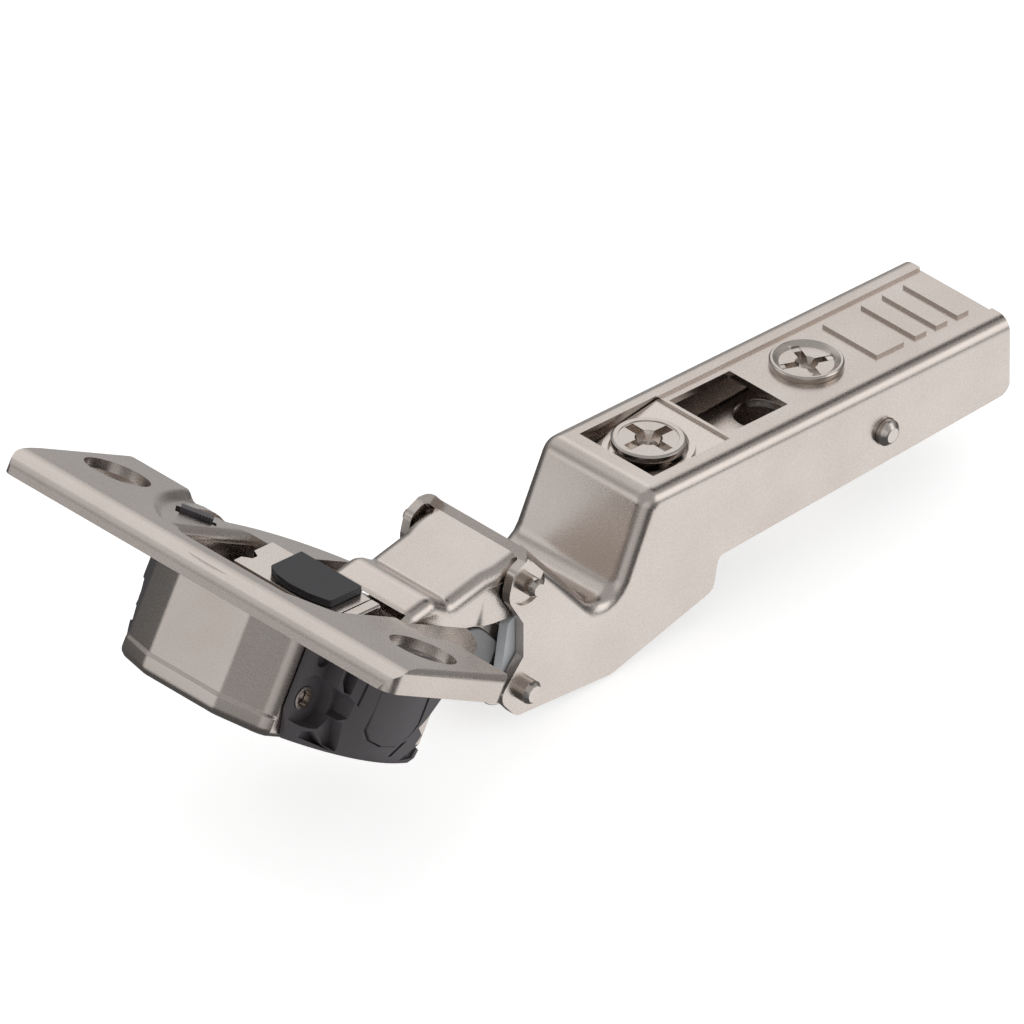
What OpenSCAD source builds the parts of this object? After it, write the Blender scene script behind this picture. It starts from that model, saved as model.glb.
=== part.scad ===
// Concealed cup hinge for an acute corner, drawn open. Millimetres.
// The clip carrier's seat is the origin, +X runs back along the arm, +Z away from the cabinet side.

/* [Arm] */
// Rear end of the arm, measured from the cup centre
arm_end = 93.3; // [85:0.1:105]
// Half of the arm's outside width
arm_hw = 8.1; // [7:0.05:9]
// Sheet thickness of the arm
arm_t = 1.1; // [0.9:0.05:1.5]
// Outside radius of the long bends
arm_r = 1.8; // [1.4:0.1:3]
// Fall of the arm's top per millimetre of length
arm_fall = 0.073; // [0.05:0.001:0.09]
// Depth of the coined recess between the rails
recess = 0.35; // [0.1:0.05:0.5]
// Half width of the recess
recess_hw = 5.3; // [4.5:0.1:5.8]
// Lower edge of the side walls, from the flange top of the cup
wall_low = -20.2; // [-21:0.1:-19]

/* [Pivots] */
// Upper arm pin, along X
a0x = 21.5; // [20:0.05:23]
// Upper arm pin, along Z
a0z = -9.05; // [-10:0.05:-8]
// Lower arm pin, along X
b0x = 21.0; // [20:0.05:22]
// Lower arm pin, along Z
b0z = -22.2; // [-23:0.05:-21]
// Cup pin of the outer lever, along the cup's x
a1x = 7.18; // [5:0.01:9]
// Cup pin of the outer lever, depth below the flange top
a1h = 8.84; // [7:0.01:10]
// Cup stubs of the inner lever, along the cup's x
b1x = 2.9; // [1:0.01:4]
// Cup stubs of the inner lever, depth below the flange top
b1h = 11.27; // [10:0.01:12]
// Radius of the two cup pins
pin_r = 1.25; // [1:0.05:1.5]
// Radius of the upper arm pin
up_pin_r = 1.06; // [0.9:0.01:1.3]
// Radius of the lower arm pin
low_pin_r = 1.33; // [1:0.01:1.6]
// Running clearance of a pin in its lever, on the radius
run = 0.06; // [0.02:0.01:0.1]

/* [Cup] */
// Radius of the drilled cup hole's filling
cup_r = 17.4; // [17:0.1:17.5]
// Depth of the drawn cup below the flange top
cup_h = 15.6; // [13:0.1:16]
// Sheet thickness of the cup
cup_t = 0.9; // [0.7:0.05:1.2]
// Half width of the drawn cup across the hinge
cup_hw = 10.9; // [9.5:0.1:11]
// Damper rivet, along the cup's x
dr_x = -11.2; // [-12:0.1:-10]
// Damper rivet, depth below the flange top
dr_h = 10.5; // [9:0.1:12]
// Tilt of the cup axis towards the arm when open
cup_tilt = 30; // [20:1:40]

/* [Flange] */
// Half length of the flange along Y
fl_hy = 28.5; // [26:0.1:30]
// Height of the flange edge above the door face
fl_h = 3.0; // [2:0.1:3.5]
// Spacing of the two screw holes
hole_y = 45; // [42:1:52]
// Distance of the screw holes in front of the cup centre
hole_x = 9.5; // [5.5:0.5:9.5]
// Radius of the two door screw openings
hole_r = 3.75; // [2.5:0.05:4]

/* [Adjusters] */
// Position of the rear pin, along X
rpx = 74.5; // [70:0.1:80]
// Position of the rear pin, along Z
rpz = -16.0; // [-17:0.1:-15]
// Front screw, along X
fsx = 47.4; // [45:0.1:50]
// Rear screw, along X
rsx = 70.9; // [68:0.1:74]
// Radius of both screw heads
head_r = 4.0; // [3:0.1:5]

/* [Hidden] */
ox = 70;
oz = -21.4;
$fn = 48;
steel = [0.78, 0.75, 0.71];
dark = [0.3, 0.3, 0.31];

// Placing
module place() { translate([-ox, 0, -oz]) children(); }
module in_cup() { place() rotate([0, cup_tilt, 0]) children(); }
// A profile drawn in x and z is pulled out along Y from y0 to y1
module slab(y0, y1) { translate([0, y1, 0]) rotate([90, 0, 0]) linear_extrude(y1 - y0) children(); }
module slab2(y0, y1) {
    slab(y0, y1) children();
    slab(-y1, -y0) children();
}
// A cylinder along Y at x, z
module rod(x, z, r, y0, y1) { translate([x, y1, z]) rotate([90, 0, 0]) cylinder(r = r, h = y1 - y0); }

// Polylines with rounded corners
function unit(v) = v / norm(v);
function turn(v, a) = [v[0] * cos(a) - v[1] * sin(a), v[0] * sin(a) + v[1] * cos(a)];
function corner(a, b, c, r, k) =
    let (u = unit(a - b), w = unit(c - b), h = acos(u * w) / 2, m = b + unit(u + w) * r / sin(h),
         s = b + u * r / tan(h) - m, g = (u[0] * w[1] - u[1] * w[0]) > 0 ? -1 : 1)
    [for (i = [0 : k]) m + turn(s, g * (180 - 2 * h) * i / k)];
function soft(p, r, k = 6) = concat([p[0]], [for (i = [1 : len(p) - 2])
    each (r[i] > 0 ? corner(p[i - 1], p[i], p[i + 1], r[i], k) : [p[i]])], [p[len(p) - 1]]);
// The same for a closed outline
function ring_soft(p, r, k = 5) = let (n = len(p)) [for (i = [0 : n - 1])
    each (r[i] > 0 ? corner(p[(i + n - 1) % n], p[i], p[(i + 1) % n], r[i], k) : [p[i]])];
function norms(p) = [for (i = [0 : len(p) - 1])
    let (d0 = i > 0 ? unit(p[i] - p[i - 1]) : unit(p[1] - p[0]),
         d1 = i < len(p) - 1 ? unit(p[i + 1] - p[i]) : d0, m = unit(d0 + d1))
    [-m[1], m[0]] / (m * d1)];
// A strap of thickness t along a centre line
module strap(p, t) { n = norms(p); polygon(concat([for (i = [0 : len(p) - 1]) p[i] + n[i] * t / 2],
    [for (i = [len(p) - 1 : -1 : 0]) p[i] - n[i] * t / 2])); }

// Bent sheet channel: outer top line p, lower edge q, half width w at each station
module channel(p, q, w, t, r, m = 5) {
    n = norms(p);
    k = 2 * (m + 2);
    L = len(p);
    out = [for (i = [0 : L - 1]) concat([[q[i][0], -w[i], q[i][1]]],
        [for (j = [0 : m]) let (a = 90 * j / m, c = p[i] - n[i] * r * (1 - sin(a)))
            [c[0], -(w[i] - r + r * cos(a)), c[1]]],
        [for (j = [m : -1 : 0]) let (a = 90 * j / m, c = p[i] - n[i] * r * (1 - sin(a)))
            [c[0], w[i] - r + r * cos(a), c[1]]], [[q[i][0], w[i], q[i][1]]])];
    s = r - t;
    inn = [for (i = [0 : L - 1]) concat([[q[i][0], -(w[i] - t), q[i][1]]],
        [for (j = [0 : m]) let (a = 90 * j / m, c = p[i] - n[i] * (t + s * (1 - sin(a))))
            [c[0], -(w[i] - r + s * cos(a)), c[1]]],
        [for (j = [m : -1 : 0]) let (a = 90 * j / m, c = p[i] - n[i] * (t + s * (1 - sin(a))))
            [c[0], w[i] - r + s * cos(a), c[1]]], [[q[i][0], w[i] - t, q[i][1]]])];
    pts = [for (i = [0 : L - 1]) each concat(out[i], [for (j = [k - 1 : -1 : 0]) inn[i][j]])];
    R = 2 * k;
    side = [for (i = [0 : L - 2]) for (j = [0 : R - 1]) let (a = i * R + j, b = i * R + (j + 1) % R,
        c = b + R, d = a + R) each [[a, b, c], [a, c, d]]];
    cap0 = [for (j = [0 : k - 2]) each [[j, R - 1 - j, R - 2 - j], [j, R - 2 - j, j + 1]]];
    e = (L - 1) * R;
    cap1 = [for (j = [0 : k - 2]) each [[e + j, e + R - 2 - j, e + R - 1 - j], [e + j, e + j + 1, e + R - 2 - j]]];
    polyhedron(points = pts, faces = concat(side, cap0, cap1), convexity = 8);
}

// Arm
function top_z(x) = -7.2 - arm_fall * (x - 42.6);
arm_top = soft([[22.2, -5.3], [33.4, -19.3], [39.6, top_z(39.6)], [arm_end, top_z(arm_end)]], [0, 2.6, 2.4, 0]);
arm_n = norms(arm_top);
arm_q = [for (i = [0 : len(arm_top) - 1]) let (x = (arm_top[i] - arm_n[i] * arm_r)[0])
    [x, lookup(x, [[20, -22.4], [39.4, -22.4], [39.9, wall_low + 0.6], [arm_end, wall_low]])]];
ear = ring_soft([[21.6, -6.0], [19.4, -6.9], [18.6, -9.9], [22.3, -16.4], [17.2, -21.9], [19.7, -25.1], [33.8, -26.8],
    [48.9, -23.6], [49.7, -19.65], [52, -19.7], [46, -17], [36.5, -19], [33.6, -21.6], [24.4, -10.5]],
    [0, 1.6, 2.2, 1.2, 1.6, 1.6, 4, 1.2, 1.0, 0, 0, 0, 0, 0]);
module tilted(x) { translate([x, 0, top_z(x)]) rotate([0, atan(arm_fall), 0]) children(); }
module arm() color(steel) place() {
    difference() {
        union() {
            channel(arm_top, arm_q, [for (i = arm_top) arm_hw], arm_t, arm_r);
            slab2(arm_hw - arm_t, arm_hw) polygon(ear);
            // pads of the coined grip field
            tilted(79.4) translate([0, 0, -recess / 2 - 0.1]) cube([4.1, 8, recess], center = true);
            for (i = [0 : 2]) tilted(83.95 + 3.15 * i) translate([0, 0, -recess / 2 - 0.1])
                cube([1.7, 8, recess], center = true);
        }
        // coined recess, cut round the pads
        difference() {
            translate([54, 0, top_z(54)]) rotate([0, atan(arm_fall), 0])
                translate([0, -recess_hw, -recess]) cube([60, 2 * recess_hw, 5]);
            tilted(79.4) cube([4.1, 8, 4], center = true);
            for (i = [0 : 2]) tilted(83.95 + 3.15 * i) cube([1.7, 8, 4], center = true);
        }
        // front edge set back between the ears
        translate([23.0, 0, -6.3]) rotate([0, 51.3, 0]) translate([-3, -6.3, -1.7]) cube([3, 12.6, 3]);
        // shallow seats round the upper pin
        rod(a0x + 0.1, a0z - 0.1, 2.45, -arm_hw - 1, -arm_hw + 0.3);
        rod(a0x + 0.1, a0z - 0.1, 2.45, arm_hw - 0.3, arm_hw + 1);
        // window behind the front screw tongue
        tilted(59.3) cube([9, 8.6, 6], center = true);
        // opening of the tongue
        tilted(48.3) cube([11.4, 2 * recess_hw + 0.3, 6], center = true);
        // rear screw hole
        tilted(rsx) cylinder(r = 2.6, h = 8, center = true);
        rod(a0x, a0z, up_pin_r - 0.02, -12, 12);
        rod(b0x, b0z, low_pin_r - 0.02, -12, 12);
        rod(rpx, rpz, 1.5 + run, -12, 12);
        // rounded lower rear corners
        slab(-12, 12) difference() {
            translate([arm_end - 1.6, wall_low - 0.1]) square([3, 1.7]);
            translate([arm_end - 1.6, wall_low + 1.6]) circle(1.6);
        }
    }
    // screw tongue, bent down towards the front
    difference() {
        union() {
            tongue() translate([-10.6, -recess_hw, -arm_t]) cube([11, 2 * recess_hw, arm_t]);
            tongue() translate([fsx - 54, 0, -0.3]) difference() {
                cylinder(r = 4.95, h = 0.75);
                translate([0, 0, -1]) cylinder(r = 4.3, h = 4);
            }
        }
        tongue() translate([fsx - 54, 0, 0]) cylinder(r = 2.5, h = 8, center = true);
        tilted(fsx) translate([0, 0, -1.6]) cylinder(r = head_r + 0.25, h = 4);
    }
}
module tongue() { translate([54, 0, top_z(54) - recess]) rotate([0, atan(arm_fall) - 9, 0]) children(); }

// Carrier and its clip
module clip_carrier() color(steel) place() difference() {
    union() {
        channel([[44.5, -12.3], [56, -12.3], [86, -12.3]], [[44.5, -17.0], [56, oz], [86, oz]],
            [5.2, 5.2, 5.2], 1.0, 1.8, 4);
        // folded base tab that carries the seat
        slab(-5.2, 5.2) translate([65, oz]) square([10, 1.0]);
    }
    translate([63.6, 0, -12]) cylinder(r = 2.6, h = 6, center = true);
    // slot of the front screw foot
    translate([fsx - 3.6, -1.9, -14]) cube([7.6, 3.8, 3]);
    translate([fsx - 3.6, 0, -12]) cylinder(r = 1.9, h = 6, center = true);
    translate([fsx + 4, 0, -12]) cylinder(r = 1.9, h = 6, center = true);
    // slots of the rear pin: 3 mm to the rear, 2 mm to the front
    slab(-8, 8) translate([rpx - 2.2, rpz - 1.55]) square([5.4, 3.1]);
    rod(rpx - 2.2, rpz, 1.55, -8, 8);
    rod(rpx + 3.2, rpz, 1.55, -8, 8);
    rod(84, -16.6, 0.98, -8, 8);
    // front hook notches over the mounting plate
    slab(-8, 8) polygon([[58, oz - 1], [61, oz - 1], [61, -19.2], [60, -18.4], [58.6, -18.4], [58, -19.2]]);
}
clip_top = soft([[86.9, -14.1], [90.9, -14.6], [91.6, -19.0]], [0, 1.6, 0], 4);
clip_n = norms(clip_top);
module clip_lever() color(steel) place() difference() {
    union() {
        channel(clip_top, [for (i = [0 : len(clip_top) - 1]) clip_top[i] - clip_n[i] * 1.5],
            [for (p = clip_top) 6.4], 0.9, 1.2, 3);
        slab2(5.5, 6.4) polygon(ring_soft([[81.6, -14.4], [86.9, -15.4], [90.2, -15.9], [90.2, -19.2], [87, -21.9], [81.8, -21.4],
            [80.6, -18]], [1.4, 0.8, 0.5, 0, 1.6, 1.2, 1]));
    }
    rod(84, -16.6, 1.0 + run, -8, 8);
}
module lever_pin() color(steel) place() union() {
    rod(84, -16.6, 1.0, -6.55, 6.55);
}
module clip_spring() color(steel) place() {
    for (i = [-1 : 1]) translate([84, i * 0.9, -16.6]) rotate([90, 0, 0]) rotate_extrude()
        translate([1.95, 0]) circle(0.46, $fn = 16);
    translate([84.4, -0.9, -18.5]) rotate([0, 90, 0]) cylinder(r = 0.4, h = 5.2, $fn = 16);
    translate([82, 0.9, -18.2]) rotate([0, 0, 0]) cylinder(r = 0.4, h = 4.2, $fn = 16);
}
module rear_pin() color(steel) place() {
    rod(rpx, rpz, 1.5, -8.7, 8.7);
    for (s = [-1, 1]) translate([rpx, s * 8.7, rpz]) rotate([-90 * s, 0, 0]) cylinder(r1 = 1.5, r2 = 0.85, h = 0.6);
}
module front_screw() color(steel) place() tilted(fsx) {
    difference() {
        union() {
            translate([0, 0, -0.55]) cylinder(r = head_r, h = 0.65);
            translate([0, 0, 0.1]) cylinder(r1 = head_r, r2 = head_r - 0.25, h = 0.2);
            translate([0, 0, -1.2]) cylinder(r1 = 3.2, r2 = head_r, h = 0.65);
            translate([0, 0, -3.7]) cylinder(r = 1.9, h = 3);
            translate([0, 0, -7.5]) cylinder(r = 1.3, h = 4);
            translate([0, 0, -8.6]) cylinder(r = 2.3, h = 1.2);
        }
        translate([0, 0, 0.2]) cylinder(r = head_r - 0.75, h = 1);
        rotate([0, 0, -1.5]) cross_slot(3.05, 1.15, 0.75);
        translate([0, 0, -1.6]) cylinder(r1 = 0.8, r2 = 1.5, h = 1.85);
    }
}
// Cross recess, s long and w wide, cut d deep below the head's seat
module cross_slot(s, w, d) {
    for (a = [0, 90]) rotate([0, 0, a]) translate([-s, -w / 2, -d]) cube([2 * s, w, d + 1]);
}
module rear_screw() color(steel) place() tilted(rsx) translate([0, 0, 0.1]) {
    difference() {
        union() {
            translate([0, 0, -0.45]) cylinder(r = head_r, h = 0.6);
            translate([0, 0, 0.15]) cylinder(r1 = head_r, r2 = head_r - 0.15, h = 0.2);
            translate([0, 0, -1.7]) cylinder(r = 2.54, h = 1.5);
            translate([0, 0, -2.4]) cylinder(r = 4.4, h = 0.9);
        }
        translate([0, 0, -0.23]) cylinder(r1 = 2.95, r2 = 3.65, h = 0.6);
        rotate([0, 0, -21.5]) cross_slot(2.35, 0.95, 1.2);
        rotate([0, 0, -21.5]) cross_slot(3.1, 0.95, 0.32);
        translate([0, 0, -1.3]) cylinder(r1 = 0.7, r2 = 1.3, h = 1.2);
    }
}
module arm_pin(x, z, r, l) {
    rod(x, z, r, -l, l);
    for (s = [-1, 1]) translate([x, s * l, z]) rotate([-90 * s, 0, 0]) cylinder(r1 = r + 0.03, r2 = r - 0.35, h = 0.55, $fn = 10);
}
module upper_arm_pin() color(steel) place() arm_pin(a0x, a0z, up_pin_r, 9.2);
module lower_arm_pin() color(steel) place() arm_pin(b0x, b0z, low_pin_r, 9.1);
module spring_shell() color([0.8, 0.81, 0.82]) place() difference() {
    union() {
        slab2(5.5, 6.7) polygon(ring_soft([[20.0, -13.6], [23.4, -13.6], [25.8, -19], [25.8, -24.2], [19.4, -24.5],
            [18.5, -22.5]], [1.2, 1, 0, 1, 1.4, 1.8]));
        slab(-6.7, 6.7) polygon([[24.95, -19.0], [25.8, -19.0], [25.8, -24.2], [24.95, -24.2]]);
    }
    rod(b0x, b0z, low_pin_r - 0.02, -12, 12);
}

// Levers, in the cup's frame with z = minus depth
outer_top = soft([[7.4, -4.4], [9.0, -2.5], [11.6, -0.5], [14.4, -0.78], [18.4, 2.45], [19.8, 3.58], [21.95, 5.33]],
    [0, 2.6, 2.2, 1.0, 0, 0, 0], 5);
outer_n = norms(outer_top);
outer_q = [for (i = [0 : len(outer_top) - 1]) outer_top[i] - outer_n[i] * 2.1];
outer_w = [for (p = outer_top) lookup(p[0], [[9, 6.2], [18.4, 6.25], [19.8, 6.7]])];
outer_in = [for (i = [len(outer_top) - 1 : -1 : 0]) outer_top[i] - outer_n[i] * 1.65];
module outer_side() {
    polygon(concat(outer_in, ring_soft([[7.35, -6.4], [7.3, -9.4], [9.4, -10.4], [10.9, -8.6], [14.6, -4.4],
        [15.9, -2.9], [19.9, -2.85], [21.9, -2.3], [24.6, -1.3], [26.0, 0.9], [25.0, 3.0], [23.9, 3.9], [22.7, 4.25]],
        [0, 0, 1.2, 0, 1.5, 0.8, 0.8, 1.2, 1.5, 1.4, 1.0, 0.8, 0])));
    translate([a1x, -a1h]) circle(2.55);
}
a0c = [a0x * cos(cup_tilt) - a0z * sin(cup_tilt), a0x * sin(cup_tilt) + a0z * cos(cup_tilt)];
b0c = [b0x * cos(cup_tilt) - b0z * sin(cup_tilt), b0x * sin(cup_tilt) + b0z * cos(cup_tilt)];
module outer_lever() color(steel) in_cup() difference() {
    union() {
        channel(outer_top, outer_q, outer_w, 1.0, 1.6, 5);
        intersection() {
            slab2(5.25, 6.7) outer_side();
            union() {
                linear_extrude(60, center = true) polygon([[4, -6.2], [9, -6.2], [19.2, -6.25], [20.6, -6.7], [28, -6.7],
                    [28, -5.7], [20.6, -5.7], [19.2, -5.25], [4, -5.25]]);
                linear_extrude(60, center = true) polygon([[4, 6.2], [9, 6.2], [19.2, 6.25], [20.6, 6.7], [28, 6.7],
                    [28, 5.7], [20.6, 5.7], [19.2, 5.25], [4, 5.25]]);
            }
        }
    }
    rod(a1x, -a1h, pin_r + run, -9, 9);
    rod(a0c[0], a0c[1], up_pin_r + run, -9, 9);
    // the web ends short of the cup pin
    slab(-5.24, 5.24) polygon([[4, -8], [10.2, -8], [10.2, -3.3], [9.7, -2.8], [8.2, -2.8], [6, -1]]);
}
inner_path = soft([[b1x + 1.7, -b1h + 0.53], [9.2, -9.3], [13.3, -7.8], [17.2, -3.7], [22.2, -2.7],
    [27.4, -4.6], b0c + [-1.2, 2.7]], [0, 3, 3, 3, 4, 2, 0], 6);
module inner_lever() color(steel) in_cup() difference() {
    union() {
        slab(-4.9, 4.9) strap(inner_path, 1.5);
        rod(b1x, -b1h, 2.35, -4.9, 4.9);
        rod(b0c[0], b0c[1], 3.4, -4.9, 4.9);
    }
    rod(b1x, -b1h, pin_r + run, -6, 6);
    rod(b0c[0], b0c[1], 2.62, -6, 6);
}
module lever_pad() color([0.55, 0.55, 0.56]) place() difference() {
    slab(-5.2, 5.2) polygon(ring_soft([[15.4, -14.2], [16.4, -12.6], [18.6, -14.2], [20.0, -17.6], [18.2, -20.2], [16.4, -18.4]],
        [0.8, 0.8, 0.6, 0.6, 0.8, 1.2]));
    rotate([0, cup_tilt, 0]) slab(-6, 6) strap(inner_path, 1.54);
}

// Cup
// One wall of the pot: a prism with its outer face at distance d in direction a, depth h, lower edge radius e
module wall_prism(a, d, h, e) rotate([0, 0, a]) rotate([90, 0, 0]) linear_extrude(90, center = true)
    polygon(soft([[-40, 4], [-40, -h], [d, -h], [d, 4]], [0, 0, e, 0], 5));
// A front wall, with the pressed bead b above its lower edge
module bead_prism(a, d, h, e, b) rotate([0, 0, a]) rotate([90, 0, 0]) linear_extrude(90, center = true)
    polygon(soft([[-40, 4], [-40, -h], [d + b, -h], [d + b, -h + 2.1], [d, -h + 2.5], [d, 4]],
        [0, 0, e, 0.3, 0.3, 0], 5));
// Plan angle and distance of the front walls, from the front to the side
front_walls = [[180, 16.5], [168.5, 17.13], [156.9, 17.2], [140.2, 17.39], [123.4, 16.32], [106.7, 14.09]];
// The drawn pot, k smaller all round
module pot_solid(k, h, e) intersection() {
    for_walls(k, h, e);
    wall_prism(90, cup_hw - k, h, e);
    wall_prism(-90, cup_hw - k, h, e);
    wall_prism(0, 16.5 - k, h, e);
    wall_prism(45.8, 15.9 - k, h, e);
    wall_prism(-45.8, 15.9 - k, h, e);
}
module for_walls(k, h, e) intersection_for(w = front_walls) intersection() {
    bead_prism(w[0], w[1] - k, h, e, 0.2);
    bead_prism(-w[0], w[1] - k, h, e, 0.2);
}
fl_front = soft([[-20.95, -fl_h], [-20.6, -1.7], [-18.7, -0.35], [-15.8, 0.0], [-1.3, 0.0]], [0, 1.6, 3, 5, 0], 5);
module flange_body() difference() {
    intersection() {
        slab(-fl_hy, fl_hy) polygon(concat(fl_front, [[-1.3, -fl_h]]));
        linear_extrude(20, center = true) polygon(ring_soft([[-21, -fl_hy], [-21, fl_hy], [-1.3, fl_hy],
            [-1.3, -fl_hy]], [2.0, 2.0, 1.3, 1.3]));
        // rounded top edge along both ends
        rotate([90, 0, 90]) linear_extrude(60, center = true) polygon(ring_soft([[-fl_hy, -5], [-fl_hy, 0],
            [fl_hy, 0], [fl_hy, -5]], [0, 1.0, 1.0, 0]));
    }
    // hollow underside, with a turned-down lip at the rear of both ends
    slab(-fl_hy + 1.1, fl_hy - 1.1) polygon([[-19.8, -5], [-19.4, -1.9], [-17.2, -1.1], [-2.3, -1.1], [-2.3, -5]]);
    translate([-3, -18.4, -5]) cube([3, 36.8, 3.9]);
}
// Height of the pressed floor round the mouth: flat, then down to the rear collar
floor_line = [[-30, -0.9], [-2.6, -0.9], [-1.2, -0.97], [0.1, -1.17], [1.2, -1.52], [2.2, -2.0], [3.2, -2.38],
    [4.4, -2.5], [30, -2.5]];
module under_floor(drop) slab(-30, 30) polygon(concat([for (p = floor_line) [p[0], p[1] - drop]], [[30, -30], [-30, -30]]));
module pressed() rotate_extrude($fn = 96) polygon([[0, -3], [17.9, -3], [17.9, -0.9], [18.15, -0.84],
    [18.5, -0.62], [18.9, -0.26], [19.25, -0.06], [19.6, 0.02], [19.6, 3], [0, 3]]);
module hinge_cup() color(steel) in_cup() difference() {
    union() {
        difference() {
            flange_body();
            intersection() {
                pressed();
                translate([-17, -30, -5]) cube([60, 60, 10]);
            }
        }
        // pressed floor and rear collar
        intersection() {
            difference() {
                under_floor(0);
                under_floor(1.05);
            }
            union() {
                intersection() {
                    cylinder(r = 19.7, h = 20, center = true, $fn = 96);
                    translate([-20.3, -20, -6]) cube([21.6, 40, 8]);
                    linear_extrude(20, center = true) polygon([[-20.3, -20], [-1.2, -20], [-1.2, -17.9], [0.9, -17.2],
                        [1.3, -15], [1.3, 15], [0.9, 17.2], [-1.2, 17.9], [-1.2, 20], [-20.3, 20]]);
                }
                intersection() {
                    cylinder(r = 17.65, h = 20, center = true, $fn = 96);
                    translate([-1, -20, -6]) cube([20, 40, 8]);
                }
            }
        }
        intersection() {
            pot_solid(0, cup_h, 1.0);
            under_floor(0);
        }
    }
    // hollow of the pot below the floor
    intersection() {
        pot_solid(cup_t, cup_h - cup_t, 0.6);
        union() {
            under_floor(1.05);
            translate([-30, -30, -6]) cube([30.3, 60, 12]);
        }
    }
    // mouth between the rear ledges, open to the rear
    translate([0, -8.35, -3.7]) cube([20, 16.7, 8]);
    translate([8, -6.8, -5.0]) cube([12, 13.6, 8]);
    translate([8, -5.5, -7.9]) cube([12, 11.0, 8]);
    // rounded lip along both sides of the mouth
    for (s = [0, 1]) mirror([0, s, 0]) difference() {
        translate([-13, 9.3, -2.2]) cube([13.3, 2.2, 4]);
        rod2(-14, 0.5, 11.5, -2.1, 1.2);
        translate([-14, 11.5, -5]) cube([14.5, 4, 8]);
    }
    // openings for the door screws
    for (s = [-1, 1]) translate([-hole_x - 0.1, s * hole_y / 2, -4]) cylinder(r = hole_r, h = 8);
    // slot for the right housing's lug, with its smooth pocket behind it
    translate([-5.6, 13.9, 0]) rotate([0, 0, -52]) cube([4.6, 2.7, 8], center = true);
    difference() {
        translate([-4.4, 11.6, -4]) cube([8, 4.4, 8]);
        under_floor(0.3);
    }
    rod(a1x, -a1h, pin_r - 0.02, -12, 12);
    rod(b1x, -b1h, pin_r - 0.02, -12, 12);
}
// A cylinder along X from x0 to x1 at y, z
module rod2(x0, x1, y, z, r) translate([x0, y, z]) rotate([0, 90, 0]) cylinder(r = r, h = x1 - x0);
module outer_rivets() color(steel) in_cup() for (s = [-1, 1]) {
    rod(a1x, -a1h, pin_r, min(s * 4.98, s * 11.3), max(s * 4.98, s * 11.3));
    translate([a1x, s * 5.07, -a1h]) rotate([90, 0, 0]) cylinder(r = 1.9, h = 0.18, center = true);
    translate([a1x, s * 11.2, -a1h]) rotate([90, 0, 0]) cylinder(r = 1.8, h = 0.5, center = true);
}
module inner_pin() color(steel) in_cup() {
    rod(b1x, -b1h, pin_r, -11.2, 11.2);
    for (s = [-1, 1]) translate([b1x, s * 11.2, -b1h]) rotate([90, 0, 0]) cylinder(r = 1.8, h = 0.5, center = true);
}

// Damper parts, drawn for the +Y side
cover_out = [[-5.38, 0], [-5.38, -11.7], [-4.5, -12.7], [-2.7, -13.15], [-0.7, -12.9], [0.9, -11.5], [1.55, -10.2],
    [1.55, 0]];
module housing(lug) difference() {
    union() {
        intersection() {
            rotate_extrude($fn = 96) polygon([[0, -15.35], [15.9, -15.35], [16.5, -15.05], [16.85, -14.4],
                [cup_r, -9.5], [cup_r, -2.1], [0, -2.1]]);
            slab(10.96, 18) polygon([[-13.0, -2.1], [-13.0, -12.0], [-11.8, -15.35], [3.6, -15.35], [4.3, -14.2],
                [4.3, -13.4], [2.9, -12.8], [3.4, -11.6], [2.0, -10.7], [4.2, -7.4], [4.2, -2.1]]);
            under_floor(1.12);
        }
        // ribbed lug that shows through the flange
        if (lug) intersection() {
            translate([-5.6, 13.9, -1.6]) rotate([0, 0, -52]) union() {
                cube([3.6, 1.9, 2.4], center = true);
                for (i = [0 : 4]) translate([0.2 + 0.34 * i, -0.98, 0.95]) cube([0.16, 0.2, 0.5], center = true);
            }
            cylinder(r = 17.0, h = 40, center = true);
        }
    }
    // flat seat round the hollow pin and above it
    rod(dr_x, -dr_h, 2.75, 11.6, 20);
    translate([-14, 12.1, -dr_h]) cube([4.1, 6, 9]);
    rod(dr_x, -dr_h, 1.33, 10, 20);
    rod(-10.9, -5.8, 1.0, 11.6, 20);
    // moulded pockets between pin and cover
    slab(13.7, 20) polygon([[-9.7, -2], [-9.7, -7.2], [-9.2, -8.4], [-8.5, -8.4], [-8.1, -2]]);
    slab(13.1, 20) polygon([[-9.9, -8.5], [-10.2, -11.3], [-9.0, -11.7], [-7.8, -11.0], [-7.8, -9.2], [-8.7, -8.5]]);
    slab(13.7, 20) polygon([[-9.8, -11.6], [-9.9, -13.2], [-8.9, -14.5], [-7.2, -14.9], [-8.1, -11.6]]);
    slab(12.6, 20) polygon([[-12.4, -14.3], [-10.2, -13.4], [-8.8, -14.6], [-7.4, -15.0]]);
    slab(15.2, 20) polygon([[-7.25, -5.2], [-7.55, -9.3], [-7.3, -9.4], [-6.95, -5.2]]);
    // pocket of the cover and the notches below it
    difference() {
        slab(12, 20) offset_out(0.14);
        cylinder(r = 16.55, h = 60, center = true, $fn = 96);
    }
    slab(16.2, 20) polygon([[0.3, -12.6], [1.0, -12.2], [-0.4, -14.2], [-0.9, -14.3]]);
    slab(16.2, 20) polygon([[3.6, -12.9], [1.9, -13.9], [1.4, -14.7], [3.6, -14.3]]);
    // heads of the cup pins
    rod(a1x, -a1h, 2.2, 10, 11.8);
    rod(b1x, -b1h, 2.1, 10, 11.8);
}
module offset_out(g) polygon([for (p = cover_out) [p[0] + (p[0] > -2.5 ? g : -g), p[1] - g]]);
module cover() intersection() {
    difference() {
        cylinder(r = cup_r - 0.1, h = 60, center = true, $fn = 96);
        cylinder(r = 16.6, h = 70, center = true, $fn = 96);
    }
    slab(12, 20) polygon(cover_out);
    under_floor(1.4);
}
module damper_housing_left() color(dark) in_cup() mirror([0, 1, 0]) housing(false);
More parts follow.
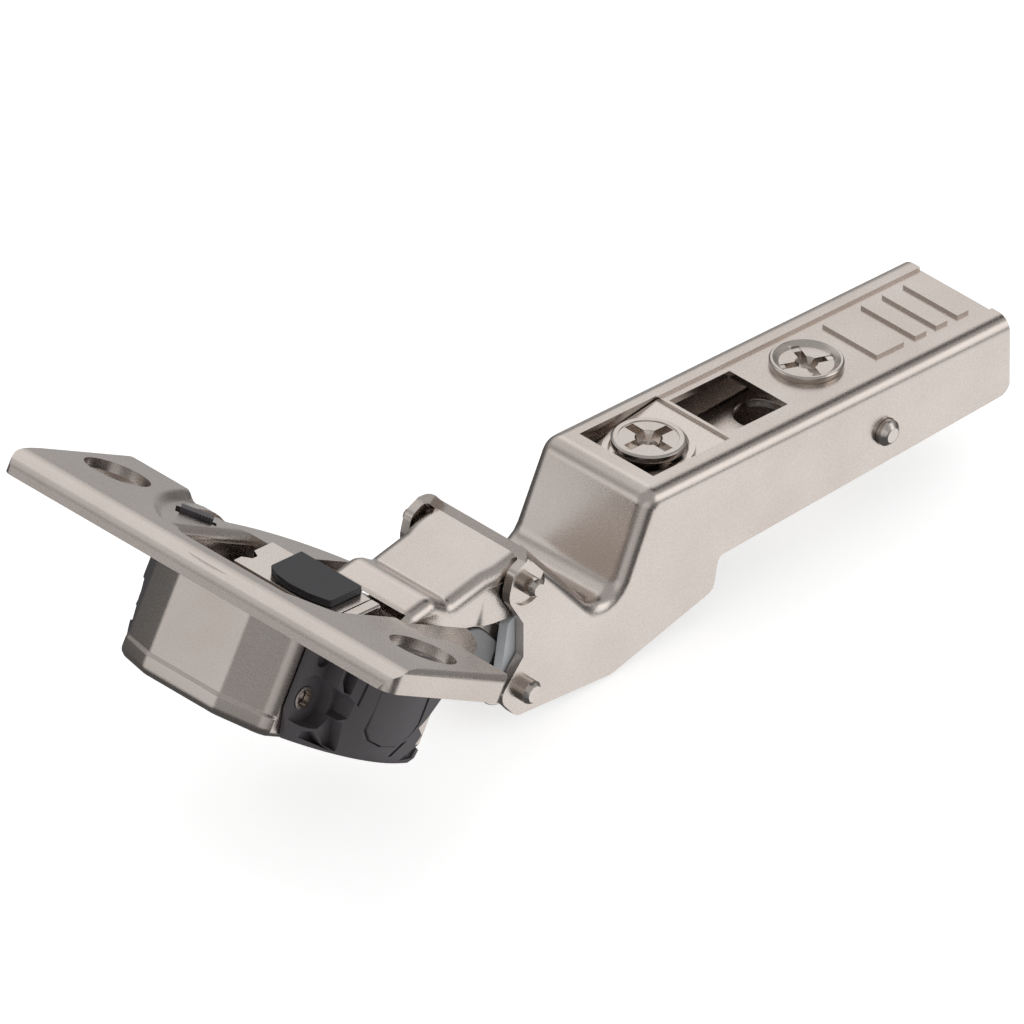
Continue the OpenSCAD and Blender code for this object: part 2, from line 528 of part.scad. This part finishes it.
module damper_housing_right() color(dark) in_cup() housing(true);
module damper_cover_left() color(dark) in_cup() mirror([0, 1, 0]) cover();
module damper_cover_right() color(dark) in_cup() cover();
module damper_rivets() color(steel) in_cup() for (s = [0, 1]) mirror([0, s, 0]) difference() {
    rod(dr_x, -dr_h, 1.3, 11.0, 11.75);
    rod(dr_x, -dr_h, 0.95, 10, 13);
}

// Flap pressed down by the outer lever
a1w = [a1x * cos(cup_tilt) - a1h * sin(cup_tilt), -a1x * sin(cup_tilt) - a1h * cos(cup_tilt)];
module damper_flap() color(steel) place() difference() {
    union() {
        slab(-8.0, 8.0) polygon([[-5.7, -0.45], [0.0, -1.0], [-0.1, -1.35], [-0.7, -1.88], [-5.7, -1.4]]);
        slab2(6.9, 7.9) polygon(ring_soft([[-5.2, -1.0], [-0.4, -1.4], [0.9, -6.2], [3.6, -10.2], [1.0, -14.2],
            [-0.2, -9.6], [-4.2, -3.4]], [0, 0, 2, 1, 1, 2, 2]));
        slab2(6.9, 7.9) translate(a1w) circle(2.3);
    }
    rod(a1w[0], a1w[1], pin_r + run, -12, 12);
    // notch on the +Y edge
    translate([0, 0, -3]) linear_extrude(6) polygon([[-5.2, 9], [-3.9, 7.0], [-3.2, 7.0], [-2.2, 9]]);
    // fold line and lowered tab on the -Y edge
    translate([-7, -6.62, -1.2]) rotate([0, 5.5, 0]) cube([8, 0.16, 2]);
    translate([-8, -8.1, -0.45]) rotate([32, 5.5, 0]) translate([0, -2, 0]) cube([9, 2.6, 2]);
}
module soft_close_switch() color([0.29, 0.29, 0.3]) place() translate([0, 0, 0.02]) intersection() {
    slab(-6, 6) polygon(ring_soft([[-5.9, -0.4], [-5.6, 0.45], [0.15, -0.1], [0.3, -0.95]], [0, 0.45, 0.3, 0]));
    translate([0, 0, -2]) linear_extrude(4) polygon(ring_soft([[0.2, 3.75], [0.2, -5.15], [-4.6, -5.15], [-5.25, -2.6],
        [-5.45, 0.0], [-5.15, 2.2], [-4.5, 3.75]], [0.3, 0.4, 0.4, 2, 2, 2, 0.4]));
}

clip_carrier();
clip_lever();
lever_pin();
clip_spring();
rear_pin();
arm();
front_screw();
rear_screw();
upper_arm_pin();
lower_arm_pin();
spring_shell();
outer_lever();
inner_lever();
lever_pad();
hinge_cup();
outer_rivets();
inner_pin();
damper_housing_left();
damper_housing_right();
damper_cover_left();
damper_cover_right();
damper_rivets();
damper_flap();
soft_close_switch();
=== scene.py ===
"""Dresses the concealed cup hinge: a finish and rounded edges on every CAD piece, the studio and the camera."""

import logging
import math
from dataclasses import dataclass, field
from enum import Enum
from typing import Sequence

import bpy
from mathutils import Matrix, Vector


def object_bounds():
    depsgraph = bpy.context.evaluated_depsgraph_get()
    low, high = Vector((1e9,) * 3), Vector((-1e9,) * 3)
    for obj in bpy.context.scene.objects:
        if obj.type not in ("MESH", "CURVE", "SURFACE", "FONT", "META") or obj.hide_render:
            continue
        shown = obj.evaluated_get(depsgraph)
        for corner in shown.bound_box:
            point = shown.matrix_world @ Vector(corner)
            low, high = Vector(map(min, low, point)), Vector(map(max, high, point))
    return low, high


logging.basicConfig(level=logging.INFO, format="%(message)s")
LOG = logging.getLogger("hinge")

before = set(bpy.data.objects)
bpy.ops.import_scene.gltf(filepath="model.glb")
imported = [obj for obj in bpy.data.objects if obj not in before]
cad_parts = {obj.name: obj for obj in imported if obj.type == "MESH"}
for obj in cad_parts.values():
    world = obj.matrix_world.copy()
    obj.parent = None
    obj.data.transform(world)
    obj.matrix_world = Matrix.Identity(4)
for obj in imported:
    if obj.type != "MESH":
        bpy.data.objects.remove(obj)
CAD_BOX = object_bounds()

MM = 0.001
# The CAD meshes are loose triangles: corners closer than this are one corner
WELD_MM = 0.002
# Neighbouring triangles that turn less than this lie in one flat face
FLAT_DEG = 0.6
BEVEL_STEPS = 2


def srgb(code: str) -> tuple[float, float, float, float]:
    """Turns an sRGB hex colour into linear RGBA.

    Args:
        code: six hex digits, with or without a leading #.

    Returns:
        The linear colour with alpha 1.
    """
    code = code.lstrip("#")
    channels = [int(code[i:i + 2], 16) / 255 for i in (0, 2, 4)]
    linear = [c / 12.92 if c <= 0.04045 else ((c + 0.055) / 1.055) ** 2.4 for c in channels]
    return (linear[0], linear[1], linear[2], 1.0)


def node(tree: bpy.types.NodeTree, kind: str, values: dict | None = None, links: dict | None = None,
         **settings) -> bpy.types.Node:
    """Adds one shader node.

    Args:
        tree: the node tree that it goes into.
        kind: the node's type name.
        values: constant inputs, by socket name or number.
        links: output sockets to link, by the input's name or number.
        **settings: attributes of the node.

    Returns:
        The new node.
    """
    made = tree.nodes.new(kind)
    for key, value in settings.items():
        setattr(made, key, value)
    for key, value in (values or {}).items():
        made.inputs[key].default_value = value
    for key, socket in (links or {}).items():
        tree.links.new(socket, made.inputs[key])
    return made


@dataclass(frozen=True)
class NickelSteel:
    """Cold-formed steel, satin nickel plated: warm grey metal whose fine sandy grain breaks up each reflection."""

    name: str
    colour: str
    roughness: float
    grain_mm: float
    grain_depth_mm: float
    hollow_colour: str = "918883"
    drift_mm: float = 9.0
    roughness_swing: float = 0.07

    def build(self) -> bpy.types.Material:
        """Builds the material.

        Returns:
            The new material.
        """
        material = bpy.data.materials.new(self.name)
        material.use_nodes = True
        tree = material.node_tree
        shader = tree.nodes["Principled BSDF"]
        shader.inputs["Metallic"].default_value = 1.0
        place = node(tree, "ShaderNodeTexCoord").outputs["Object"]
        # Object coordinates are metres, so a noise of scale 1 / (size x MM) has cells of that size.
        # The real grain is about 0.05 mm, too fine to show, so it is drawn two to three times as coarse
        grain = node(tree, "ShaderNodeTexNoise",
                     {"Scale": 1 / (self.grain_mm * MM), "Detail": 3.0, "Roughness": 0.65}, {"Vector": place})
        self.paint(tree, shader, place, grain)
        self.roughen(tree, shader, grain)
        return material

    def paint(self, tree: bpy.types.NodeTree, shader: bpy.types.Node, place: bpy.types.NodeSocket,
              grain: bpy.types.Node) -> None:
        """Colours the metal: darker in the grain's hollows, with a slow drift in the plating's tone.

        Args:
            tree: the material's node tree.
            shader: its surface shader.
            place: the coordinates of the surface.
            grain: the grain's noise.
        """
        level = node(tree, "ShaderNodeMapRange",
                     {"From Min": 0.30, "From Max": 0.60, "To Min": 0.68, "To Max": 1.0},
                     {"Value": grain.outputs["Fac"]})
        tone = node(tree, "ShaderNodeMix", {"A": srgb(self.hollow_colour), "B": srgb(self.colour)},
                    {"Factor": level.outputs["Result"]}, data_type="RGBA")
        drift = node(tree, "ShaderNodeTexNoise", {"Scale": 1 / (self.drift_mm * MM), "Detail": 2.0},
                     {"Vector": place})
        wash = node(tree, "ShaderNodeMix", {"A": srgb("EBE7E4"), "B": srgb("FFFFFF")},
                    {"Factor": drift.outputs["Fac"]}, data_type="RGBA")
        mixed = node(tree, "ShaderNodeMix", {"Factor": 1.0},
                     {"A": tone.outputs["Result"], "B": wash.outputs["Result"]},
                     data_type="RGBA", blend_type="MULTIPLY")
        tree.links.new(mixed.outputs["Result"], shader.inputs["Base Color"])

    def roughen(self, tree: bpy.types.NodeTree, shader: bpy.types.Node, grain: bpy.types.Node) -> None:
        """Lets the grain vary the gloss and tip the surface.

        Args:
            tree: the material's node tree.
            shader: its surface shader.
            grain: the grain's noise.
        """
        rough = node(tree, "ShaderNodeMapRange",
                     {"From Min": 0.3, "From Max": 0.7, "To Min": self.roughness - self.roughness_swing,
                      "To Max": self.roughness + self.roughness_swing}, {"Value": grain.outputs["Fac"]})
        tree.links.new(rough.outputs["Result"], shader.inputs["Roughness"])
        bump = node(tree, "ShaderNodeBump", {"Strength": 1.0, "Distance": self.grain_depth_mm * MM},
                    {"Height": grain.outputs["Fac"]})
        tree.links.new(bump.outputs["Normal"], shader.inputs["Normal"])


@dataclass(frozen=True)
class MouldedPlastic:
    """Injection-moulded polyamide or acetal: a dull even colour with the mould's fine spark-eroded texture."""

    name: str
    colour: str
    roughness: float
    grit_mm: float
    grit_depth_mm: float
    flow_mm: float = 6.0
    flow_dimming: float = 0.82
    roughness_swing: float = 0.06

    def build(self) -> bpy.types.Material:
        """Builds the material.

        Returns:
            The new material.
        """
        material = bpy.data.materials.new(self.name)
        material.use_nodes = True
        tree = material.node_tree
        shader = tree.nodes["Principled BSDF"]
        # Polyamide and acetal: 1.48 to 1.53
        shader.inputs["IOR"].default_value = 1.5
        place = node(tree, "ShaderNodeTexCoord").outputs["Object"]
        grit = node(tree, "ShaderNodeTexNoise", {"Scale": 1 / (self.grit_mm * MM), "Detail": 2.0},
                    {"Vector": place})
        # The melt's flow leaves slightly dimmer patches
        flow = node(tree, "ShaderNodeTexNoise", {"Scale": 1 / (self.flow_mm * MM), "Detail": 1.0},
                    {"Vector": place})
        base = srgb(self.colour)
        dim = tuple(c * self.flow_dimming for c in base[:3]) + (1.0,)
        tone = node(tree, "ShaderNodeMix", {"A": dim, "B": base}, {"Factor": flow.outputs["Fac"]},
                    data_type="RGBA")
        tree.links.new(tone.outputs["Result"], shader.inputs["Base Color"])
        rough = node(tree, "ShaderNodeMapRange",
                     {"To Min": self.roughness - self.roughness_swing,
                      "To Max": self.roughness + self.roughness_swing}, {"Value": grit.outputs["Fac"]})
        tree.links.new(rough.outputs["Result"], shader.inputs["Roughness"])
        bump = node(tree, "ShaderNodeBump", {"Strength": 0.6, "Distance": self.grit_depth_mm * MM},
                    {"Height": grit.outputs["Fac"]})
        tree.links.new(bump.outputs["Normal"], shader.inputs["Normal"])
        return material


class Finish(Enum):
    """Every finish on the hinge."""

    SHEET = NickelSteel("satin_nickel_plated_steel_sheet", "DAD2CC", 0.22, 0.13, 0.009)
    CUP = NickelSteel("satin_nickel_plated_drawn_cup", "D2CAC4", 0.25, 0.14, 0.011)
    TURNED = NickelSteel("bright_nickel_plated_turned_steel", "DBD4CE", 0.20, 0.10, 0.003)
    SPRING = NickelSteel("nickel_plated_spring_steel", "BDB4AC", 0.32, 0.12, 0.006)
    DARK = MouldedPlastic("anthracite_moulded_polyamide", "4E494D", 0.50, 0.14, 0.010)
    SWITCH = MouldedPlastic("graphite_moulded_acetal", "454548", 0.58, 0.12, 0.012)
    GREY = MouldedPlastic("grey_moulded_acetal", "8C8C8E", 0.45, 0.12, 0.006)
    LIGHT = MouldedPlastic("light_grey_moulded_acetal", "C8CBCE", 0.40, 0.12, 0.005)


class Finishes:
    """Builds each finish once and hands it out."""

    def __init__(self) -> None:
        """Starts with no material made."""
        self.made: dict[Finish, bpy.types.Material] = {}

    def get(self, finish: Finish) -> bpy.types.Material:
        """Gives the material of one finish.

        Args:
            finish: the finish wanted.

        Returns:
            Its material, made at the first call.
        """
        if finish not in self.made:
            self.made[finish] = finish.value.build()
        return self.made[finish]


class Edge(Enum):
    """How a piece's edges are finished."""

    ROUNDED = "rounded by tumbling or by the mould"
    CRISP = "cut, with a rounding narrower than a pixel"


@dataclass(frozen=True)
class Dress:
    """The finish and the edges of one CAD piece."""

    finish: Finish
    edge_mm: float = 0.12
    # Edges that turn more than this are edges, the rest is a curved face
    angle_deg: float = 32.0
    edge: Edge = Edge.ROUNDED


@dataclass
class SubAssembly:
    """A group of CAD pieces that are put together before they go on the hinge."""

    title: str = ""
    pieces: dict[str, Dress] = field(default_factory=dict)

    def shape_edges(self, piece: bpy.types.Object, dress: Dress) -> None:
        """Rounds or sharpens a piece's edges and keeps its flat faces flat to the eye.

        Args:
            piece: the CAD piece.
            dress: how it is finished.
        """
        for polygon in piece.data.polygons:
            polygon.use_smooth = True
        weld = piece.modifiers.new("joined", "WELD")
        weld.merge_threshold = WELD_MM * MM
        if dress.edge is Edge.CRISP:
            split = piece.modifiers.new("crisp_edges", "EDGE_SPLIT")
            split.split_angle = math.radians(dress.angle_deg)
        else:
            planes = piece.modifiers.new("planes", "DECIMATE")
            planes.decimate_type = "DISSOLVE"
            planes.angle_limit = math.radians(FLAT_DEG)
            bevel = piece.modifiers.new("edge", "BEVEL")
            bevel.width = dress.edge_mm * MM
            bevel.segments = BEVEL_STEPS
            bevel.limit_method = "ANGLE"
            bevel.angle_limit = math.radians(dress.angle_deg)
            bevel.use_clamp_overlap = True
            bevel.miter_outer = "MITER_ARC"
        normals = piece.modifiers.new("flat_faces", "WEIGHTED_NORMAL")
        normals.keep_sharp = False

    def build(self, finishes: Finishes) -> None:
        """Dresses every piece of the group.

        Args:
            finishes: the materials.
        """
        for name, dress in self.pieces.items():
            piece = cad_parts[name]
            piece.data.materials.clear()
            piece.data.materials.append(finishes.get(dress.finish))
            self.shape_edges(piece, dress)
            LOG.info("%s: %s, %s, edges %s", self.title, name, dress.finish.value.name, dress.edge.value)


@dataclass
class ClipUnit(SubAssembly):
    """The carrier that seats on the mounting plate, with its clip lever, spring and pins."""

    title: str = "clip unit"
    pieces: dict[str, Dress] = field(default_factory=lambda: {
        "clip_carrier": Dress(Finish.SHEET),
        "clip_lever": Dress(Finish.SHEET),
        "lever_pin": Dress(Finish.TURNED),
        "clip_spring": Dress(Finish.SPRING, edge_mm=0.03),
        "rear_pin": Dress(Finish.TURNED),
    })


@dataclass
class ArmUnit(SubAssembly):
    """The arm with its adjusting screws, its two front pins and the moulded shell of the closing springs."""

    title: str = "arm unit"
    pieces: dict[str, Dress] = field(default_factory=lambda: {
        "arm": Dress(Finish.SHEET, edge=Edge.CRISP),
        "front_screw": Dress(Finish.TURNED),
        "rear_screw": Dress(Finish.TURNED),
        # The pins' heads are turned to ten flats, so their edges turn by less
        "upper_arm_pin": Dress(Finish.TURNED, edge_mm=0.05, angle_deg=14.0),
        "lower_arm_pin": Dress(Finish.TURNED, edge_mm=0.05, angle_deg=14.0),
        "spring_shell": Dress(Finish.LIGHT, edge_mm=0.45),
    })


@dataclass
class Linkage(SubAssembly):
    """The two levers between arm and cup, and the moulded pad on the inner one."""

    title: str = "linkage"
    pieces: dict[str, Dress] = field(default_factory=lambda: {
        "outer_lever": Dress(Finish.SHEET),
        "inner_lever": Dress(Finish.SHEET),
        "lever_pad": Dress(Finish.GREY, edge_mm=0.2),
    })


@dataclass
class CupUnit(SubAssembly):
    """The drawn cup with its pins, the damper housings on both sides, the flap and the damping switch."""

    title: str = "cup unit"
    pieces: dict[str, Dress] = field(default_factory=lambda: {
        "hinge_cup": Dress(Finish.CUP),
        "outer_rivets": Dress(Finish.TURNED),
        "inner_pin": Dress(Finish.TURNED),
        "damper_housing_left": Dress(Finish.DARK),
        "damper_housing_right": Dress(Finish.DARK),
        "damper_cover_left": Dress(Finish.DARK, edge_mm=0.1),
        "damper_cover_right": Dress(Finish.DARK, edge_mm=0.1),
        "damper_rivets": Dress(Finish.TURNED, edge=Edge.CRISP),
        "damper_flap": Dress(Finish.SHEET),
        "soft_close_switch": Dress(Finish.SWITCH, edge_mm=0.38),
    })


@dataclass(frozen=True)
class SoftLight:
    """A broad soft light of the studio, as a patch of its dome."""

    aim: tuple[float, float, float]
    # Cosine of the angle from its centre where it starts, and where it is full
    starts_at: float
    full_at: float
    strength: float


@dataclass
class Studio:
    """Plain pale floor, soft studio light and the camera at the photograph's angle."""

    aim_mm: tuple[float, float, float] = (-42.8, 0.0, 14.6)
    width_mm: float = 106.8
    # So long a lens, so far away, that the view is parallel, as the photograph's is
    lens_mm: float = 1500.0
    sensor_mm: float = 36.0
    azimuth_deg: float = -45.0
    elevation_deg: float = 35.264
    floor_side: float = 6.0
    floor_gap: float = 0.0004
    dim: float = 0.10
    bright: float = 0.48
    darkest: float = 0.02
    lights: Sequence[SoftLight] = field(default_factory=lambda: (
        # arm's top
        SoftLight((0.66, 0.50, 0.56), 0.88, 0.985, 0.50),
        # arm's side, mirrored from below
        SoftLight((0.577, -0.577, -0.577), 0.84, 0.980, 1.00),
        # cup's slopes and its near wall
        SoftLight((-0.80, 0.55, 0.17), 0.86, 0.970, 0.50),
        SoftLight((-0.60, -0.75, 0.15), 0.85, 0.980, 0.35),
        # streak on the long bends
        SoftLight((0.577, -0.75, 0.28), 0.90, 0.985, 1.05),
        # roll of the flange's front edge
        SoftLight((0.15, 0.62, 0.77), 0.82, 0.960, 0.30),
        # flange's top
        SoftLight((0.79, 0.56, -0.25), 0.90, 0.980, 0.38),
        # dark card over the long bends
        SoftLight((0.577, -0.08, 0.81), 0.955, 0.990, -0.40),
    ))

    def camera(self) -> None:
        """Adds the camera."""
        azimuth, elevation = math.radians(self.azimuth_deg), math.radians(self.elevation_deg)
        back = Vector((math.sin(azimuth) * math.cos(elevation), -math.cos(azimuth) * math.cos(elevation),
                       math.sin(elevation)))
        data = bpy.data.cameras.new("camera")
        data.sensor_width = self.sensor_mm
        data.lens = self.lens_mm
        distance = self.width_mm * MM * self.lens_mm / self.sensor_mm
        data.clip_end = distance + 10
        made = bpy.data.objects.new("camera", data)
        bpy.context.scene.collection.objects.link(made)
        made.matrix_world = back.to_track_quat("Z", "Y").to_matrix().to_4x4()
        made.location = Vector(self.aim_mm) * MM + back * distance
        bpy.context.scene.camera = made

    def floor(self) -> None:
        """Adds the floor under the hinge. Glossy rays pass it, so the metal mirrors the soft light below."""
        low = CAD_BOX[0][2]
        bpy.ops.object.select_all(action="DESELECT")
        bpy.ops.mesh.primitive_plane_add(size=self.floor_side, location=(0, 0, low - self.floor_gap))
        plane = bpy.context.object
        plane.name = "studio_floor"
        plane.data.transform(Matrix.Translation(plane.location))
        plane.location = (0, 0, 0)
        material = bpy.data.materials.new("pale_matt_floor")
        material.use_nodes = True
        tree = material.node_tree
        shader = tree.nodes["Principled BSDF"]
        shader.inputs["Base Color"].default_value = srgb("FAFAFA")
        shader.inputs["Roughness"].default_value = 0.9
        shader.inputs["Specular IOR Level"].default_value = 0.0
        shader.inputs["Emission Color"].default_value = (1, 1, 1, 1)
        shader.inputs["Emission Strength"].default_value = 0.62
        clear = node(tree, "ShaderNodeBsdfTransparent")
        path = node(tree, "ShaderNodeLightPath")
        mix = node(tree, "ShaderNodeMixShader", {},
                   {0: path.outputs["Is Glossy Ray"], 1: shader.outputs[0], 2: clear.outputs[0]})
        tree.links.new(mix.outputs[0], tree.nodes["Material Output"].inputs["Surface"])
        plane.data.materials.append(material)

    def dome(self) -> None:
        """Fills the world with a soft dome and its broad lights."""
        world = bpy.data.worlds.new("studio")
        bpy.context.scene.world = world
        world.use_nodes = True
        tree = world.node_tree
        background = tree.nodes["Background"]
        direction = node(tree, "ShaderNodeTexCoord").outputs["Generated"]
        split = node(tree, "ShaderNodeSeparateXYZ", {}, {0: direction})
        rise = node(tree, "ShaderNodeMapRange",
                    {"From Min": -0.3, "From Max": 0.5, "To Min": self.dim, "To Max": self.bright},
                    {"Value": split.outputs["Z"]}, interpolation_type="SMOOTHSTEP")
        total = rise.outputs["Result"]
        for light in self.lights:
            facing = node(tree, "ShaderNodeVectorMath", {1: Vector(light.aim).normalized()}, {0: direction},
                          operation="DOT_PRODUCT")
            patch = node(tree, "ShaderNodeMapRange",
                         {"From Min": light.starts_at, "From Max": light.full_at, "To Min": 0.0,
                          "To Max": light.strength},
                         {"Value": facing.outputs["Value"]}, interpolation_type="SMOOTHSTEP")
            total = node(tree, "ShaderNodeMath", {}, {0: total, 1: patch.outputs["Result"]},
                         operation="ADD").outputs[0]
        total = node(tree, "ShaderNodeMath", {1: self.darkest}, {0: total}, operation="MAXIMUM").outputs[0]
        tree.links.new(total, background.inputs["Strength"])
        background.inputs["Color"].default_value = (1.0, 1.0, 1.0, 1.0)

    def build(self) -> None:
        """Sets up the whole studio."""
        self.camera()
        self.floor()
        self.dome()
        bpy.context.scene.view_settings.view_transform = "Standard"
        LOG.info("studio ready")


def main() -> None:
    """Builds everything in order."""
    Studio().build()
    finishes = Finishes()
    for unit in (ClipUnit(), ArmUnit(), Linkage(), CupUnit()):
        unit.build(finishes)


if __name__ == "__main__":
    main()
